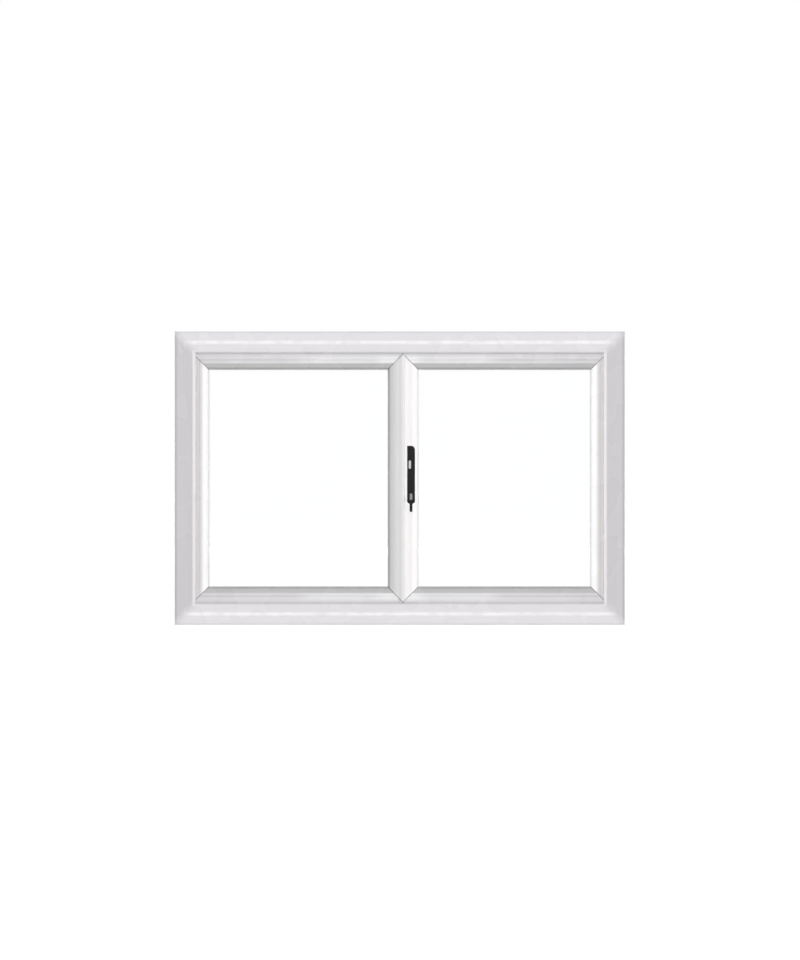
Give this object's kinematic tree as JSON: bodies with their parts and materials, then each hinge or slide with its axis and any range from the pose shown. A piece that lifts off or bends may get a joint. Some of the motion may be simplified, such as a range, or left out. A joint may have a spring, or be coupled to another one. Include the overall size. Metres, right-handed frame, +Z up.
{
  "type": "casement window",
  "caption": "White casement window: fixed left leaf, side-hung right sash opening outdoors, sealed glass units and a black lever handle that drives a rack, cams and keeps",
  "frame": {"origin": "middle of the sill's underside at mid depth", "axes": "+X to the right seen from the room, +Y towards outdoors, +Z up"},
  "size_m": [1.2, 0.0947, 0.782],
  "materials": {
    "white_upvc": "satin white",
    "glass": "clear float",
    "seal_rubber": "matt light grey",
    "spacer_alloy": "mill",
    "packer_plastic": "moulded",
    "black_handle": "satin black",
    "bright_metal": "bright",
    "white_hinge": "powder coat",
    "steel": "zinc plated"
  },
  "bodies": {
    "frame": {"frame_left_jamb": "white_upvc", "frame_right_jamb": "white_upvc", "frame_sill": "white_upvc", "frame_head": "white_upvc", "frame_weather_seal": "seal_rubber", "fixed_jamb_stile": "white_upvc", "fixed_left_bead": "white_upvc", "fixed_meeting_stile": "white_upvc", "fixed_right_bead": "white_upvc", "fixed_bottom_rail": "white_upvc", "fixed_bottom_bead": "white_upvc", "fixed_top_rail": "white_upvc", "fixed_top_bead": "white_upvc", "fixed_inner_pane": "glass", "fixed_outer_pane": "glass", "fixed_spacer_bar": "spacer_alloy", "fixed_edge_seal": "seal_rubber", "fixed_gaskets": "seal_rubber", "fixed_setting_blocks": "packer_plastic", "fixed_leaf_screws": "steel", "fixed_leaf_packers": "packer_plastic", "meeting_astragal": "white_upvc", "astragal_seal": "seal_rubber", "lower_hinge_frame_leaf": "white_hinge", "upper_hinge_frame_leaf": "white_hinge", "hinge_frame_screws": "steel", "lower_keep": "steel", "upper_keep": "steel", "keep_screws": "steel"},
    "sash": {"sash_lock_stile": "white_upvc", "sash_left_bead": "white_upvc", "sash_hinge_stile": "white_upvc", "sash_right_bead": "white_upvc", "sash_bottom_rail": "white_upvc", "sash_bottom_bead": "white_upvc", "sash_top_rail": "white_upvc", "sash_top_bead": "white_upvc", "sash_inner_pane": "glass", "sash_outer_pane": "glass", "sash_spacer_bar": "spacer_alloy", "sash_edge_seal": "seal_rubber", "sash_gaskets": "seal_rubber", "sash_setting_blocks": "packer_plastic", "lower_hinge_sash_leaf": "white_hinge", "upper_hinge_sash_leaf": "white_hinge", "lower_hinge_pin": "steel", "upper_hinge_pin": "steel", "hinge_sash_screws": "steel", "gear_case": "steel", "lock_faceplate": "steel", "faceplate_screws": "steel", "handle_base": "black_handle", "handle_screws": "steel"},
    "lever": {"handle_lever": "black_handle", "lever_pivot_cap": "bright_metal", "spindle": "steel", "drive_pinion": "steel"},
    "drive_rod": {"drive_rod": "steel", "locking_cams": "steel"},
    "button": {"lock_button": "bright_metal"}
  },
  "joints": [
    {"name": "sash_hinge", "type": "hinge", "parent": "frame", "child": "sash", "pos_m": [0.554, 0.04, 0.391], "axis": [0, 0, -1], "range_deg": [0, 90]},
    {"name": "lever_turn", "type": "hinge", "parent": "sash", "child": "lever", "pos_m": [0.0303, 0.008, 0.3345], "axis": [0, 1, 0], "range_deg": [0, 90]},
    {"name": "rod_slide", "type": "slide", "parent": "sash", "child": "drive_rod", "axis": [0, 0, 1], "range_m": [0, 0.00864]},
    {"name": "button_press", "type": "slide", "parent": "lever", "child": "button", "axis": [0, 1, 0], "range_m": [0, 0.001], "stiffness_N_per_m": 400}
  ],
  "couplings": [
    {"joint": "rod_slide", "follows": "lever_turn", "m_per_rad": 0.0055}
  ]
}
